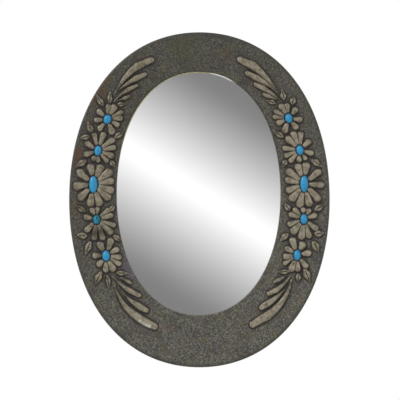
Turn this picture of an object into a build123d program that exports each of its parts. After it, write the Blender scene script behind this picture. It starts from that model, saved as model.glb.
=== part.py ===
from build123d import *

import math
import os

# An oval wall mirror in an embossed tin frame. Millimetres. X is right, the front faces -Y and
# Z is up. The wall is the plane Y = 0. The origin is the top inside of the hanging ring, where
# the nail carries the mirror.

# ---------------------------------------------------------------- driving dimensions

# frame outline and opening
half_width = 155.5
half_height = 200.0
opening_half_width = 98.0
opening_half_height = 145.0
opening_rise = 7.0  # the opening's centre lies above the frame's
opening_shift = -1.0  # and a little to the left
fullness = 0.597  # length of the oval's curve handles, as a share of each half-axis

# wooden core
core_thickness = 14.0
lip_thickness = 6.0  # what stands in front of the glass
lip_width = 6.0  # how far the lip covers the glass's rebate

# tin sheet
tin_thickness = 0.5
edge_round = 3.0  # front outer edge
flange_width = 8.0  # the sheet's rim, folded over the back
flange_slit_width = 3.0
flange_slit_depth = 5.5

# tacks through the flange
tack_count = 26
tack_shank_radius = 0.6
tack_length = 9.0
tack_head_radius = 2.0
tack_head_height = 0.8
tack_head_crown = 0.7  # how much of the head's height is rounded, as a share

# embossing
relief_height = 2.4
steepest_rise = 0.34  # a boss's height, as a share of its width, is never more
petal_root_share = 0.65  # width of a petal at the stone, as a share of its full width
leaf_tip_width = 1.8
leaf_slit_width = 0.8
leaf_slit_share = 0.6  # the slit's length, as a share of the leaf's
leaf_root_share = 0.5
leaf_belly_share = 0.42  # the widest place, as a share of the leaf's length
frond_root_width = 1.8
frond_belly_share = 0.72  # the widest place, as a share of the frond's length
frond_tip_share = 0.78  # width of the round tip, as a share of the full width
frond_link_length = 11.0  # straight runs that a frond's curve is made of
link_step = 0.05  # each next link of a boss starts this much slimmer than the last one ends
foot_spread = 0.7  # how far a boss's foot lies outside its drawn outline
stone_gap = 0.3  # between a stone and its petals
stone_rise = 3.2

# glass and what backs it
glass_thickness = 3.0
card_thickness = 1.5
board_thickness = 3.5
pane_clearance = 1.0  # all round, in the rebate

# turn buttons
button_count = 6
button_pivot_out = 8.5  # from the rebate's edge to the screw
button_reach = 16.0  # from the screw to the long end
button_tail = 6.0  # from the screw to the short end
button_width = 10.0
button_thickness = 1.5
button_clearance = 0.1
screw_shank_radius = 1.5
screw_length = 10.0
screw_head_radius = 3.2
screw_head_height = 1.6
screw_head_crown = 0.5  # how much of the head's height is rounded, as a share
screw_slot_width = 0.8
screw_slot_depth = 0.7
button_slot_step = 37.0  # each next button's screw slot has stopped this much further round
hanger_slot_turn = 20.0
fixed_clearance = 0.05  # a screw or tack in the hole it has made

# hanger
nail_below_top = 12.0  # from the frame's top edge to the nail
ring_wire_radius = 1.1
ring_half_width = 8.5  # to the wire's middle
ring_straight = 3.0
ring_corner_radius = 2.6
ring_clearance = 0.1  # in the strap's eye
strap_width = 10.0
strap_thickness = 1.0
strap_length = 16.0  # from the eye's middle to the lower end
strap_screw_drop = 9.5
strap_corner_radius = 1.0

# wall pads
wall_gap = 6.0  # from the wood's back to the wall
pad_radius = 6.0
pad_inset = 22.0  # from the frame's outer edge to a pad's middle
pad_angles = (42.0, 138.0, 222.0, 318.0)

# ---------------------------------------------------------------- places

core_back = -wall_gap
core_front = core_back - core_thickness
tin_front = core_front - tin_thickness
lip_back = core_front + lip_thickness
flange_back = core_back + tin_thickness

card_front = lip_back + glass_thickness
board_front = card_front + card_thickness
board_back = board_front + board_thickness

frame_centre = (0.0, nail_below_top - half_height)
opening_centre = (opening_shift, frame_centre[1] + opening_rise)
rebate_half_width = opening_half_width + tin_thickness + lip_width
rebate_half_height = opening_half_height + tin_thickness + lip_width

ring_top = ring_straight + ring_half_width
ring_hinge_z = ring_wire_radius - ring_top
eye_bore_radius = ring_wire_radius + ring_clearance
eye_radius = eye_bore_radius + strap_thickness
ring_hinge_y = core_back + eye_radius
strap_screw_z = ring_hinge_z - strap_screw_drop

# the oval is nearly |x / a|^p + |z / b|^p = 1: both agree on the axes and halfway between them
oval_power = math.log(2) / -math.log(0.5 + 0.375 * fullness)


def oval_reach(half_w, half_h, z):
    """Half the oval's width at a height above its middle."""
    return half_w * max(0.0, 1 - abs(z / half_h) ** oval_power) ** (1 / oval_power)


def oval_spot(half_w, half_h, centre, degrees):
    """A point on an oval and the way out of it there: x, z, degrees."""
    cos, sin = math.cos(math.radians(degrees)), math.sin(math.radians(degrees))
    x = half_w * math.copysign(abs(cos) ** (2 / oval_power), cos)
    z = half_h * math.copysign(abs(sin) ** (2 / oval_power), sin)
    out_x = math.copysign(abs(x / half_w) ** (oval_power - 1), x) / half_w
    out_z = math.copysign(abs(z / half_h) ** (oval_power - 1), z) / half_h
    return centre[0] + x, centre[1] + z, math.degrees(math.atan2(out_z, out_x))


# ---------------------------------------------------------------- shapes


def from_front(y):
    """The plane at one depth as seen from the front: its X is X, its Y is Z."""
    return Plane(origin=(0, y, 0), x_dir=(1, 0, 0), z_dir=(0, -1, 0))


def prism(sketch, back, front):
    """A sketch drawn from the front, made solid between two depths."""
    return extrude(from_front(back) * sketch, back - front)


def oval(half_w, half_h, centre):
    with BuildSketch() as outline:
        with BuildLine():
            for side, up in ((1, 1), (-1, 1), (-1, -1), (1, -1)):
                Bezier(
                    (side * half_w, 0),
                    (side * half_w, up * fullness * half_h),
                    (side * fullness * half_w, up * half_h),
                    (0, up * half_h),
                )
        make_face()
    return Pos(*centre) * outline.sketch


def frame_oval(inset):
    return oval(half_width - inset, half_height - inset, frame_centre)


def opening_oval(outset):
    return oval(opening_half_width + outset, opening_half_height + outset, opening_centre)


def rebate_oval(inset):
    return oval(rebate_half_width - inset, rebate_half_height - inset, opening_centre)


def pin(x, z, radius, back, front):
    """A round bar along Y."""
    return prism(Pos(x, z) * Circle(radius), back, front)


def rounded_slab(inset, back, front, rounding):
    """The whole oval with its front edge rounded."""
    slab = prism(frame_oval(inset), back, front)
    return fillet(slab.faces().sort_by(Axis.Y)[0].edges(), rounding)


# ---------------------------------------------------------------- embossing
#
# Every boss is a round body that lies so deep behind the sheet that only its crest shows. The
# hollow behind it has the same axis and is smaller all round by the sheet's thickness.


def boss_height(width):
    return min(relief_height, steepest_rise * width)


def boss_radius(width, height):
    return (width**2 / 4 + height**2) / (2 * height)


def ball(spot, width):
    """The middle and radius of a ball whose crest has a foot of this width."""
    height = boss_height(width)
    radius = boss_radius(width, height)
    return Vector(spot[0], tin_front + radius - height, spot[1]), radius


def ball_point(middle, radius, turn):
    return (middle + radius * math.cos(turn), radius * math.sin(turn))


def link(start, start_radius, end, end_radius):
    """Two balls and the cone that joins them."""
    axis = end - start
    length = axis.length
    rim = math.pi / 2 + math.asin((end_radius - start_radius) / length)
    first, last = ball_point(0, start_radius, rim), ball_point(length, end_radius, rim)
    far_first, far_last = (-start_radius, 0), (length + end_radius, 0)
    outline = (
        ThreePointArc(far_first, ball_point(0, start_radius, (math.pi + rim) / 2), first),
        Line(first, last),
        ThreePointArc(last, ball_point(length, end_radius, rim / 2), far_last),
        Line(far_last, far_first),
    )
    half = make_face(Curve() + list(outline))
    place = Plane(origin=start, x_dir=axis, z_dir=axis.cross(Vector(0, 1, 0)))
    return (place * revolve(half, Axis.X)).solid()


def toward(start, end, distance):
    """The point so far from start on the way to end."""
    share = distance / math.dist(start, end)
    return tuple(a + share * (b - a) for a, b in zip(start, end))


def chain(spots, widths):
    """Bosses along a line of balls of given widths, each with the hollow behind it."""
    balls = [ball(spot, width) for spot, width in zip(spots, widths)]
    links = []
    for (start, first), (end, last) in zip(balls, balls[1:]):
        if links:
            first -= link_step
        hollow = link(start, first - tin_thickness, end, last - tin_thickness)
        links.append((link(start, first, end, last), hollow))
    return links


def petal(stone, rim, direction, reach, width):
    """From the stone's rim to a round tip."""
    tip = (
        stone[0] + reach * math.cos(math.radians(direction)),
        stone[1] + reach * math.sin(math.radians(direction)),
    )
    root_width = petal_root_share * width
    start = toward(stone, tip, rim + stone_gap + root_width / 2)
    return chain([start, toward(tip, stone, width / 2)], [root_width, width])


def leaf(base, tip, width):
    """A pointed oval with a slit along its middle."""
    length = math.dist(base, tip)
    widths = [leaf_root_share * width, width, leaf_tip_width]
    spots = [
        toward(base, tip, widths[0] / 2),
        toward(base, tip, leaf_belly_share * length),
        toward(tip, base, widths[2] / 2),
    ]
    turn = math.degrees(math.atan2(tip[1] - base[1], tip[0] - base[0]))
    place = Pos(*toward(base, tip, length / 2)) * Rot(0, 0, turn)

    def slit(inset):
        line = Rectangle(leaf_slit_share * length + 2 * inset, leaf_slit_width + 2 * inset)
        front = tin_front + inset
        return prism(place * line, front, front - 2 * relief_height)

    return [
        (boss - slit(0), hollow - slit(tin_thickness)) for boss, hollow in chain(spots, widths)
    ]


def frond(points, width):
    """A curved spindle from a sharp root, widest near its round tip."""
    line = Spline(*points) if len(points) > 2 else Line(*points)
    tip_width = frond_tip_share * width
    first, last = frond_root_width / 2 / line.length, 1 - tip_width / 2 / line.length
    links = max(1, round(frond_belly_share * line.length / frond_link_length))
    rises = [n / links for n in range(links + 1)]
    shares = [frond_belly_share * rise for rise in rises] + [1]
    spots = [tuple(line @ (first + (last - first) * share))[:2] for share in shares]
    widths = [frond_root_width + (width - frond_root_width) * rise for rise in rises]
    return chain(spots, widths + [tip_width])


# ---------------------------------------------------------------- the two sprays
#
# Drawn for a band this wide, and scaled with it. A flower's place is its height above the
# opening's centre and how far it lies outside the band's middle. Petals are (direction, reach
# from the stone's middle, width), leaves (base, tip, width) and fronds (points, width), all
# from the stone's middle.

drawn_band = 57.5
spray_scale = (half_width - opening_half_width) / drawn_band


class Flower:
    def __init__(self, name, side, height, outward, stone, petals, leaves=(), fronds=()):
        self.name = name
        self.stone_width, self.stone_length, self.stone_lean = stone
        self.petals, self.leaves, self.fronds = petals, leaves, fronds
        z = opening_centre[1] + height
        outer = side * oval_reach(half_width, half_height, z - frame_centre[1])
        inner = side * oval_reach(opening_half_width, opening_half_height, height)
        middle = (outer + inner + opening_shift) / 2
        self.middle = (middle + side * outward * spray_scale, z)

    def spot(self, point):
        return tuple(m + spray_scale * p for m, p in zip(self.middle, point))

    def rim(self, direction):
        """From the stone's middle to its edge."""
        turn = math.radians(direction - 90 - self.stone_lean)
        along, across = self.stone_length / 2, self.stone_width / 2
        return along * across / math.hypot(across * math.cos(turn), along * math.sin(turn))

    def bosses(self):
        made = []
        for direction, reach, width in self.petals:
            rim = spray_scale * self.rim(direction)
            reach, width = spray_scale * reach + foot_spread, spray_scale * width + 2 * foot_spread
            made += petal(self.middle, rim, direction, reach, width)
        for base, tip, width in self.leaves:
            made += leaf(self.spot(base), self.spot(tip), spray_scale * width + 2 * foot_spread)
        for points, width in self.fronds:
            made += frond([self.spot(p) for p in points], spray_scale * width)
        return made

    def stone(self):
        """An oval cabochon with a flat back, glued to the sheet."""
        half_long = spray_scale * self.stone_length / 2
        half_wide = spray_scale * self.stone_width / 2
        radius = boss_radius(2 * half_wide, stone_rise)
        with BuildSketch() as half:
            with BuildLine():
                end = half_long * radius / half_wide
                EllipticalCenterArc((0, 0), end, radius, 0, arc_size=180)
                Line((-end, 0), (end, 0))
            make_face()
        depth = radius - stone_rise
        place = Location(
            (self.middle[0], tin_front + depth, self.middle[1]), (0, -90 - self.stone_lean, 0)
        )
        egg = place * revolve(half.sketch, Axis.X)
        past_end = 2 * end
        behind = prism(Pos(*self.middle) * Circle(past_end), tin_front + past_end, tin_front)
        return egg - behind


flowers = [
    Flower(
        "left_1", -1, 89.0, -0.7, (9.5, 11.2, -20),
        petals=(
            (137, 16.5, 7), (85, 18, 6.5), (61, 20, 8), (27, 21, 5), (5, 18.5, 7),
            (-29, 16.5, 6.5), (-70, 19.5, 8), (-128, 17.5, 6.5), (185, 16, 6.5),
        ),
        leaves=(
            ((-4.8, 15), (-13, 29.3), 7),
            ((2.6, 18.6), (3.6, 33), 6),
            ((11.5, 17.6), (22.3, 18.2), 5.3),
        ),
        fronds=(
            (((8.6, 29.3), (14.5, 40.5), (30, 58.7), (56.4, 71.5)), 10.4),
            (((13, 34), (25, 43.3), (48, 54.6)), 8),
            (((7.5, 20.6), (16, 29), (37.6, 41)), 6.4),
            (((11, 21.2), (20, 25), (28.6, 28.4)), 5.4),
        ),
    ),
    Flower(
        "left_2", -1, 51.6, -1.1, (8.8, 12, -8),
        petals=(
            (147, 18, 7), (103, 22, 6), (71, 23.5, 7), (36, 24, 7), (11, 22, 7),
            (-20, 20.5, 7), (-49, 18.5, 5.5), (-88, 14.5, 5), (-116, 13.5, 6), (198, 17.5, 7),
        ),
        leaves=(
            ((-7.3, 21.1), (-11.8, 34.3), 7.5),
            ((-9.5, 17), (-21.5, 14.8), 6.5),
            ((19.6, 14.5), (31, 23), 7),
        ),
    ),
    Flower(
        "left_3", -1, 11.2, -0.5, (10.4, 20.3, 0),
        petals=(
            (139, 25.5, 9.5), (98, 25, 9), (67.5, 26, 9.5), (38, 28, 10), (11, 25, 8.5),
            (-18, 26, 9.5), (-42, 27, 9.5), (-72, 27.5, 9.5), (-99, 27, 9), (-134, 25.5, 9),
            (185, 24, 10),
        ),
        leaves=(
            ((-7.5, 29.3), (-21.7, 20.3), 7.5),
            ((20.2, 28.7), (26, 20.5), 6),
            ((-8.6, -32.9), (-21.8, -24.6), 6.5),
            ((20.1, -32.7), (25.7, -22.7), 5.5),
        ),
    ),
    Flower(
        "left_4", -1, -30.6, -3.6, (8.8, 11.5, 0),
        petals=(
            (167, 16, 7), (115, 15.5, 6.5), (85, 15, 5), (39, 20.5, 5.5), (16, 20.5, 7),
            (-18, 24, 6), (-42, 25.5, 8), (-72, 26, 7), (-98, 25, 7), (-132, 20, 7),
        ),
        leaves=(
            ((-10.5, -20), (-23.6, -18.3), 8),
            ((-7, -25.5), (-14, -43.4), 7.5),
            ((20, -18.5), (30.3, -27.2), 6),
        ),
    ),
    Flower(
        "left_5", -1, -73.8, -6.7, (9.5, 12.9, 5),
        petals=(
            (118, 18.5, 8.5), (72, 22, 8), (30, 17.5, 7), (-6, 18.5, 7), (-32, 21, 6),
            (-62, 21, 8.5), (-91, 20, 7), (-128, 16.5, 7), (179, 16.5, 7),
        ),
        leaves=(
            ((-5.3, -18.5), (-13.8, -36), 8),
            ((1.4, -22.5), (4, -40.3), 5.5),
            ((11.6, -20.2), (26.2, -21.2), 5.8),
        ),
        fronds=(
            (((10.2, -35), (15.5, -49), (23.4, -60.8), (34.5, -71), (62, -86.2)), 11.8),
            (((20.5, -45), (28.5, -52.5), (51.5, -66.4)), 9.4),
            (((7.3, -24.2), (15, -31.8), (42, -48.4)), 7.7),
            (((16.8, -25.6), (31.6, -33.4)), 5.4),
        ),
    ),
    Flower(
        "right_1", 1, 90.2, -2.3, (9, 11.2, 15),
        petals=(
            (122, 20, 8), (97, 18, 6), (51, 16, 7), (-7, 16.5, 7), (-51, 17, 7.5),
            (-107, 19, 8), (205, 16, 7), (175, 19, 5.5), (152, 20, 6),
        ),
        leaves=(
            ((-5.3, 20.8), (-8, 34.4), 6.6),
            ((3.5, 15.4), (7.2, 27.4), 7),
            ((-15, 17.6), (-26.4, 21), 5.2),
        ),
        fronds=(
            (((-12.4, 30.6), (-26.3, 47.8), (-37.4, 58.6), (-62, 70.7)), 11.4),
            (((-12.9, 29.4), (-22.4, 38.4), (-34, 45.8), (-52.3, 55)), 9),
            (((-10, 21.4), (-17.6, 27.6), (-26, 33.4), (-42, 41.4)), 7.6),
            (((-12.6, 21.6), (-32, 29.4)), 6.2),
        ),
    ),
    Flower(
        "right_2", 1, 52.2, -1.0, (8.8, 11.7, 12),
        petals=(
            (136, 23, 8), (112, 24, 7.5), (87, 22, 6.5), (44, 17.5, 7), (-16, 17, 7),
            (-57, 14, 5), (-95, 14.5, 6), (-131, 19.5, 6), (202, 20, 6), (173, 21, 6.5),
        ),
        leaves=(
            ((-19.3, 14.5), (-31.5, 23.5), 7),
        ),
    ),
    Flower(
        "right_3", 1, 12.0, -0.9, (10, 20.3, 0),
        petals=(
            (141, 27, 9.5), (110, 25.5, 9), (84, 26, 9), (40, 25.5, 8.5), (-4, 24, 8),
            (-47, 27.5, 9), (-76, 28, 9), (-102, 29, 9.5), (-129, 26.5, 9.5),
            (203, 24, 8.5), (167, 23.5, 8),
        ),
        leaves=(
            ((8, 29.3), (21.8, 20.2), 7.5),
            ((-20.9, 28.7), (-26.1, 19.6), 6),
            ((-17.2, -32.4), (-23.4, -22.7), 7),
            ((12, -32.2), (25, -24), 7),
        ),
    ),
    Flower(
        "right_4", 1, -30.1, -0.5, (8.8, 12.3, 0),
        petals=(
            (134, 18, 6), (94, 14, 6), (59, 14.5, 6), (19, 16.5, 7), (-38, 21, 7),
            (-73, 24, 7), (-98, 25, 9), (-130, 23, 9.5), (200, 21, 6.5), (160, 19, 6.5),
        ),
    ),
    Flower(
        "right_5", 1, -73.0, -0.6, (8.8, 12.8, -3),
        petals=(
            (108, 22, 8.5), (62, 18, 8.5), (11, 17, 8), (-52, 19.5, 7), (-87, 20, 6.5),
            (-112, 21, 8), (214, 20, 5), (188, 17, 8), (147, 17, 7),
        ),
        leaves=(
            ((-10.4, 26), (-20.5, 16.5), 7),
            ((20, 25), (32.2, 26.5), 8),
            ((18.7, 17), (26, 2.4), 9),
            ((8.2, -16), (15.8, -32.8), 9),
            ((1.5, -21.3), (1, -34), 5.8),
            ((-8.9, -19.4), (-23.8, -20.4), 5.6),
        ),
        fronds=(
            (((-6.6, -28.4), (-8.7, -37.5), (-22.4, -61), (-43, -77.4), (-57.3, -84.8)), 11.4),
            (((-14, -40.5), (-22.4, -48.4), (-46, -64.5)), 8.9),
            (((-7.5, -24.6), (-12.4, -31.4), (-36.6, -46.8)), 7.4),
            (((-12.2, -23.8), (-28.4, -33.4)), 5.5),
        ),
    ),
]

# ---------------------------------------------------------------- fastener places

tack_spots = [
    oval_spot(
        half_width - flange_width / 2, half_height - flange_width / 2, frame_centre,
        360 * (n + 0.5) / tack_count,
    )
    for n in range(tack_count)
]
slit_spots = [
    oval_spot(
        half_width - flange_width, half_height - flange_width, frame_centre,
        360 * n / tack_count,
    )
    for n in range(tack_count)
]
button_spots = [
    oval_spot(
        rebate_half_width + button_pivot_out, rebate_half_height + button_pivot_out,
        opening_centre, 360 * n / button_count,
    )
    for n in range(button_count)
]
pad_spots = [
    oval_spot(half_width - pad_inset, half_height - pad_inset, frame_centre, degrees)
    for degrees in pad_angles
]

# ---------------------------------------------------------------- pieces


def frame_core():
    """An oval ring of board, with a rebate for the glass in its back."""
    inset = tin_thickness
    core = rounded_slab(inset, core_back, core_front, edge_round - tin_thickness)
    core -= prism(opening_oval(tin_thickness), core_back, core_front)
    core -= prism(rebate_oval(0), core_back, lip_back)
    holes = [
        pin(x, z, tack_shank_radius + fixed_clearance, core_back, flange_back - tack_length)
        for x, z, _ in tack_spots
    ]
    screws = [(x, z) for x, z, _ in button_spots] + [(0.0, strap_screw_z)]
    holes += [
        pin(x, z, screw_shank_radius + fixed_clearance, core_back, core_back - screw_length)
        for x, z in screws
    ]
    return core - holes


def tin_cover():
    """One embossed sheet: the front, the side, the opening's lining and the rear flange."""
    embossed = [flower.bosses() for flower in flowers]
    sheet = rounded_slab(0, flange_back, tin_front, edge_round)
    sheet -= prism(opening_oval(0), flange_back, tin_front)
    sheet = sheet.solid()
    for pairs in embossed:
        sheet = sheet.fuse(*[solid for boss, _ in pairs for solid in boss.solids()])
    wood = rounded_slab(tin_thickness, core_back, core_front, edge_round - tin_thickness)
    lining = prism(opening_oval(tin_thickness), lip_back, core_front)
    sheet = sheet.cut((wood - lining).solid())
    for pairs in embossed:
        sheet = sheet.cut(*[solid for _, hollow in pairs for solid in hollow.solids()])
    cuts = [prism(frame_oval(flange_width), flange_back, core_back).solid()]
    cuts += [
        pin(x, z, tack_shank_radius + fixed_clearance, flange_back, core_back).solid()
        for x, z, _ in tack_spots
    ]
    for x, z, out in slit_spots:
        wedge = Polygon(
            (-tin_thickness, -flange_slit_width / 2),
            (-tin_thickness, flange_slit_width / 2),
            (flange_slit_depth, 0),
            align=None,
        )
        cuts.append(prism(Pos(x, z) * Rot(0, 0, out) * wedge, flange_back, core_back).solid())
    return sheet.cut(*cuts)


def pane(front, back):
    """Glass, card or board: all three fill the rebate."""
    return prism(rebate_oval(pane_clearance), back, front)


def turn_button(x, z, out):
    """A brass bar that holds the backing board, shown turned over it."""
    straight = button_reach + button_tail - button_width
    bar = Pos((button_tail - button_reach) / 2, 0) * SlotCenterToCenter(straight, button_width)
    bar -= Circle(screw_shank_radius + button_clearance)
    back = core_back + button_clearance + button_thickness
    return prism(Pos(x, z) * Rot(0, 0, out) * bar, back, core_back + button_clearance)


def wood_screw(x, z, seat, slot_turn):
    """A slotted screw whose head sits on a surface at the given depth."""
    head_back = seat + screw_head_height
    screw = pin(x, z, screw_head_radius, head_back, seat)
    screw = fillet(screw.faces().sort_by(Axis.Y)[-1].edges(), screw_head_crown * screw_head_height)
    screw += pin(x, z, screw_shank_radius, seat, core_back - screw_length)
    past_head = 3 * screw_head_radius
    slot = Rectangle(past_head, screw_slot_width)
    place = Pos(x, z) * Rot(0, 0, slot_turn)
    return screw - prism(place * slot, head_back, head_back - screw_slot_depth)


def button_screws():
    seat = core_back + 2 * button_clearance + button_thickness
    return [
        wood_screw(x, z, seat, button_slot_step * n).solid()
        for n, (x, z, _) in enumerate(button_spots)
    ]


def tack(x, z):
    head_back = flange_back + tack_head_height
    head = pin(x, z, tack_head_radius, head_back, flange_back)
    head = fillet(head.faces().sort_by(Axis.Y)[-1].edges(), tack_head_crown * tack_head_height)
    return head + pin(x, z, tack_shank_radius, flange_back, flange_back - tack_length)


def hanger_strap():
    """A strap folded round the ring's straight side, with one screw hole and round lower corners."""
    across = Plane.YZ
    eye = extrude(
        across * Pos(ring_hinge_y, ring_hinge_z) * Circle(eye_radius), strap_width / 2, both=True
    )
    plate = Pos(0, ring_hinge_z - strap_length / 2) * RectangleRounded(
        strap_width, strap_length, strap_corner_radius
    )
    plate += Pos(0, ring_hinge_z - strap_length / 4) * Rectangle(strap_width, strap_length / 2)
    strap = eye + prism(plate, core_back + strap_thickness, core_back)
    strap -= extrude(
        across * Pos(ring_hinge_y, ring_hinge_z) * Circle(eye_bore_radius), strap_width, both=True
    )
    return strap - pin(
        0, strap_screw_z, screw_shank_radius + fixed_clearance, core_back + strap_thickness,
        core_back,
    )


def hanging_ring():
    """A wire loop: straight in the strap's eye, round at the top."""
    low, high = ring_hinge_z, ring_hinge_z + ring_straight
    with BuildLine(from_front(ring_hinge_y)) as route:
        FilletPolyline(
            (0, low), (ring_half_width, low), (ring_half_width, high), radius=ring_corner_radius
        )
        ThreePointArc(
            (ring_half_width, high), (0, high + ring_half_width), (-ring_half_width, high)
        )
        FilletPolyline(
            (-ring_half_width, high), (-ring_half_width, low), (0, low),
            radius=ring_corner_radius,
        )
    section = Plane(origin=route.line @ 0, z_dir=route.line % 0) * Circle(ring_wire_radius)
    return sweep(section, path=route.line)


def wall_pad(x, z):
    return pin(x, z, pad_radius, 0, core_back)


# ---------------------------------------------------------------- files

nodes = {
    "frame_core": frame_core(),
    "tin_cover": tin_cover(),
    "mirror_glass": pane(lip_back, card_front),
    "padding_card": pane(card_front, board_front),
    "backing_board": pane(board_front, board_back),
    "button_screws": button_screws(),
    "cover_tacks": [tack(x, z).solid() for x, z, _ in tack_spots],
    "hanger_strap": hanger_strap(),
    "hanger_screw": wood_screw(0, strap_screw_z, core_back + strap_thickness, hanger_slot_turn),
    "hanging_ring": hanging_ring(),
    "wall_pads": [wall_pad(x, z).solid() for x, z, _ in pad_spots],
}
for flower in flowers:
    nodes[f"stone_{flower.name}"] = flower.stone()
for number, spot in enumerate(button_spots, 1):
    nodes[f"turn_button_{number}"] = turn_button(*spot)

os.makedirs("parts", exist_ok=True)
for name, shape in nodes.items():
    solid = Compound(children=shape) if isinstance(shape, list) else shape
    export_step(solid, f"parts/{name}.step")
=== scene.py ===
import math

import bpy
import numpy as np
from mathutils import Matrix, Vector
from mathutils.bvhtree import BVHTree


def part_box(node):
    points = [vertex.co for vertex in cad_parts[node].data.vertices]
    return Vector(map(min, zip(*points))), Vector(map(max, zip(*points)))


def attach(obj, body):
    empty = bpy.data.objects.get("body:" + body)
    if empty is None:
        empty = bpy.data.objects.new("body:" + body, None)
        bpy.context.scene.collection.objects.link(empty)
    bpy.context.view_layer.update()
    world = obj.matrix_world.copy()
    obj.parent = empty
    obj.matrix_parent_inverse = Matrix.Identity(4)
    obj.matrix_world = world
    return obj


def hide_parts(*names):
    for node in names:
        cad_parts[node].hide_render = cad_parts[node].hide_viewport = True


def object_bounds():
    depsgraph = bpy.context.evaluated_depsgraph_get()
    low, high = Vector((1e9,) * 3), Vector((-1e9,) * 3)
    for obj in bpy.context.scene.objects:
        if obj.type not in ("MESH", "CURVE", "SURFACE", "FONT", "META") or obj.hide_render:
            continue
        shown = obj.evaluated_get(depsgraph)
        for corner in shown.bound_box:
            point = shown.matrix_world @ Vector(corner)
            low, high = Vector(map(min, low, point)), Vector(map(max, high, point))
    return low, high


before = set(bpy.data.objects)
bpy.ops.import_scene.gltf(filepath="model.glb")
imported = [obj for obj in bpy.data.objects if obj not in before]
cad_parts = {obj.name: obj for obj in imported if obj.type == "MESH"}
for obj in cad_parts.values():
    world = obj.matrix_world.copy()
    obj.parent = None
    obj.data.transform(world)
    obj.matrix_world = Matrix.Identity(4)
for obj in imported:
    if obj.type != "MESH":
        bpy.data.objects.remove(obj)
cad_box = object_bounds()

# ---------------------------------------------------------------- studio
# The mirror hangs free in a pale studio over a pale floor, and the camera stands far off and
# straight in front of it. Behind the camera a square card, lit in a slanting band, is what the
# glass shows from there. Two soft lamps stand to the left, one to the right and one behind.

millimetre = 0.001
tin_thickness = 0.5 * millimetre
tin_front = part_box("frame_core")[0].y - tin_thickness
hang_middle = (cad_box[0] + cad_box[1]) / 2

camera_distance = 2.5
camera_aside = 0.7 * millimetre  # from the mirror's middle
camera_down = 0.24 * millimetre
view_width = 0.4769  # of the plane of the tin's front
film_width = 36.0

floor_drop = 0.24  # from the frame's lowest point
floor_radius = 1.15
floor_steps = 96

card_distance = 6.5
card_half_width = 1.6
band_slope = math.radians(32)
band_rise = 0.0056  # of the band's middle over the mirror's, as seen in the glass
band_core = 0.009  # half-width of the bright middle, as seen in the glass
band_fall = 4.75  # screen brightness lost per metre from the middle, as seen in the glass
card_darkest = 0.49
card_knee = 0.1  # how softly the fall ends in the darkest level
card_strength = 1.13
screen_gamma = 2.2

lamps = {  # place, width, watts
    "upper left lamp": ((-1.8, -1.1, 1.3), 0.7, 28.0),
    "lower left lamp": ((-1.3, -1.5, -1.3), 0.5, 6.0),
    "right lamp": ((1.7, -1.5, 0.3), 1.0, 6.0),
    "rear lamp": ((-0.9, 1.9, 0.8), 0.9, 16.0),
}
sky_strength = 0.5


def put(tree, kind, inputs=(), **settings):
    """One shader node: its settings, then its inputs, each a value or another node's output."""
    node = tree.nodes.new("ShaderNode" + kind)
    for name, value in settings.items():
        setattr(node, name, value)
    for name, value in dict(inputs).items():
        if isinstance(value, bpy.types.NodeSocket):
            tree.links.new(value, node.inputs[name])
        else:
            node.inputs[name].default_value = value
    return node


def reckoned(tree, operation, *values):
    return put(tree, "Math", enumerate(values), operation=operation).outputs[0]


def shade(red, green, blue):
    """A finish's colour from its screen values, 0 to 255."""
    shares = [value / 255 for value in (red, green, blue)]
    return (*(s / 12.92 if s <= 0.04045 else ((s + 0.055) / 1.055) ** 2.4 for s in shares), 1.0)


def blank(owner):
    """The node tree of a new material, world or lamp, emptied."""
    owner.use_nodes = True
    owner.node_tree.nodes.clear()
    return owner.node_tree


def mesh_piece(name, vertices, faces, material):
    mesh = bpy.data.meshes.new(name)
    mesh.from_pydata(vertices, [], faces)
    mesh.shade_smooth()
    mesh.materials.append(material)
    piece = bpy.data.objects.new(name, mesh)
    bpy.context.scene.collection.objects.link(piece)
    return piece


def aimed(thing, place, target):
    thing.location = place
    thing.rotation_euler = (Vector(target) - Vector(place)).to_track_quat("-Z", "Y").to_euler()
    bpy.context.scene.collection.objects.link(thing)


scene = bpy.context.scene
scene.view_settings.view_transform = "Standard"

camera = bpy.data.objects.new("camera", bpy.data.cameras.new("camera"))
camera.data.sensor_width = film_width
camera.data.lens = film_width * camera_distance / view_width
seen_from = Vector((camera_aside, tin_front - camera_distance, hang_middle.z - camera_down))
aimed(camera, seen_from, seen_from + Vector((0, 1, 0)))
scene.camera = camera

for name, (place, width, watts) in lamps.items():
    lamp = bpy.data.lights.new(name, "AREA")
    lamp.size = width
    lamp.energy = watts
    stand = bpy.data.objects.new(name, lamp)
    aimed(stand, place, hang_middle)
    stand.visible_camera = False

scene.world = bpy.data.worlds.new("studio")
sky = blank(scene.world)
rays = put(sky, "LightPath").outputs
shown = reckoned(sky, "MAXIMUM", rays["Is Camera Ray"], rays["Is Glossy Ray"])
shown = reckoned(sky, "MAXIMUM", shown, rays["Is Transmission Ray"])
soft_light = put(sky, "Background", {"Color": shade(255, 253, 250), "Strength": sky_strength})
backdrop = put(sky, "Background", {"Color": (1, 1, 1, 1), "Strength": 1.0})
both = put(sky, "MixShader", {0: shown, 1: soft_light.outputs[0], 2: backdrop.outputs[0]})
put(sky, "OutputWorld", {"Surface": both.outputs[0]})

floor_paint = bpy.data.materials.new("floor paint")
tree = blank(floor_paint)
paint = put(tree, "BsdfDiffuse", {"Color": shade(238, 238, 236)})
put(tree, "OutputMaterial", {"Surface": paint.outputs[0]})
floor_height = cad_box[0].z - floor_drop
turns = [math.tau * n / floor_steps for n in range(floor_steps)]
rim = [(floor_radius * math.cos(a), floor_radius * math.sin(a), floor_height) for a in turns]
floor = mesh_piece("floor", rim, [tuple(range(len(rim)))], floor_paint)

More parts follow.
